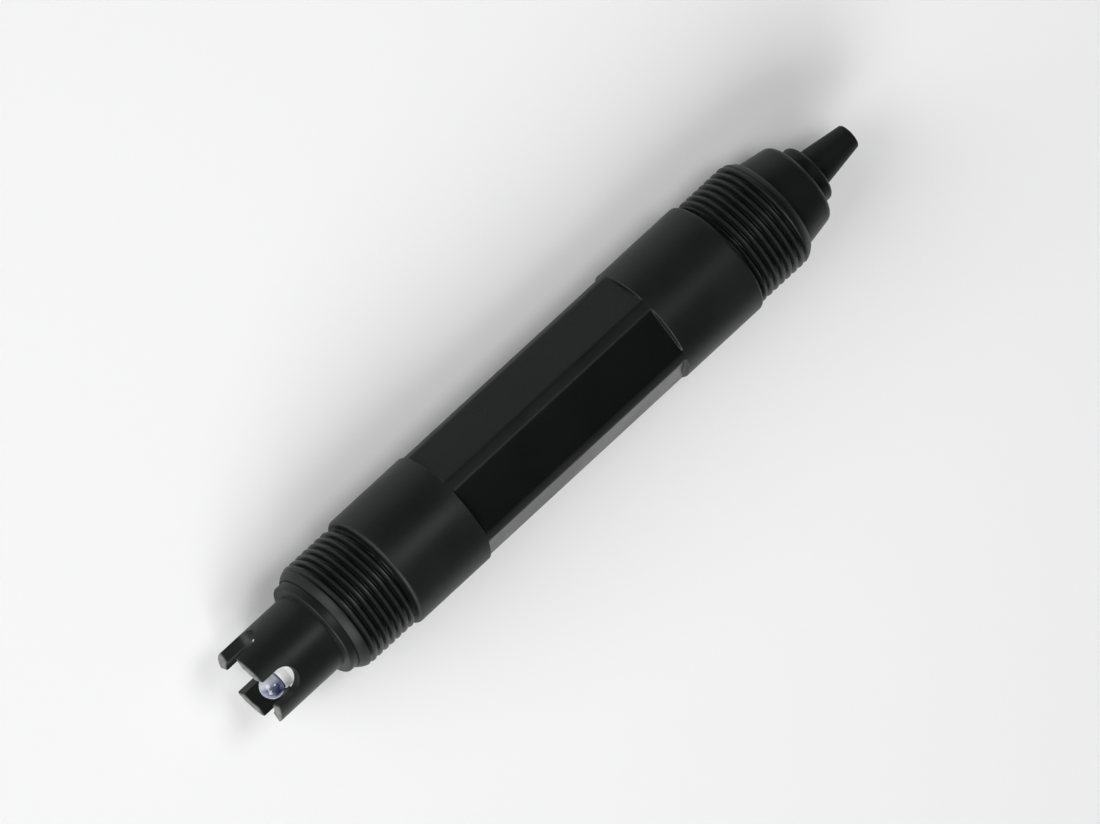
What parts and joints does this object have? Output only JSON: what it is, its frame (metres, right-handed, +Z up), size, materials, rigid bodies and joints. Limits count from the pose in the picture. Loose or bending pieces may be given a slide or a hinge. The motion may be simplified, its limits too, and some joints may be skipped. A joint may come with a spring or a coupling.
{
  "type": "ph electrode",
  "caption": "Rod-shaped on-line pH electrode with a pipe thread at each end, wrench flats, a pronged guard round a glass bulb and a tapered cable boot.",
  "frame": {"origin": "on the axis, at the hand-tight plane of the front thread", "axes": "+X along the axis from the bulb to the boot, +Z up and square to one wrench flat"},
  "size_m": [0.1774, 0.028, 0.028],
  "materials": {
    "black_plastic": "satin",
    "boot_rubber": "matte",
    "membrane_glass": "gloss",
    "white_ptfe": "matte",
    "gel": "gloss",
    "silver": "satin",
    "stopper_rubber": "matte",
    "probe_steel": "satin",
    "plug_resin": "gloss",
    "carrier_plastic": "satin",
    "board": "satin",
    "connector_plastic": "satin",
    "signal_insulation": "satin",
    "reference_insulation": "satin",
    "probe_insulation": "satin",
    "shield_metal": "satin",
    "chip_plastic": "matte",
    "module_plastic": "satin",
    "terminal_plastic": "satin"
  },
  "bodies": {
    "root": {"amplifier_shield": "shield_metal", "bulkhead": "carrier_plastic", "cable_boot": "boot_rubber", "cable_terminal": "terminal_plastic", "chamber_plug": "plug_resin", "circuit_board": "board", "controller_chip": "chip_plastic", "end_cap": "black_plastic", "glass_electrode": "membrane_glass", "guard": "black_plastic", "housing": "black_plastic", "inner_electrode": "silver", "input_connector": "connector_plastic", "junction_disc": "white_ptfe", "line_driver": "chip_plastic", "power_module": "module_plastic", "probe_lead": "probe_insulation", "reference_electrode": "silver", "reference_gel": "gel", "reference_lead": "reference_insulation", "signal_lead": "signal_insulation", "stem_stopper": "stopper_rubber", "temperature_probe": "probe_steel"}
  },
  "joints": []
}
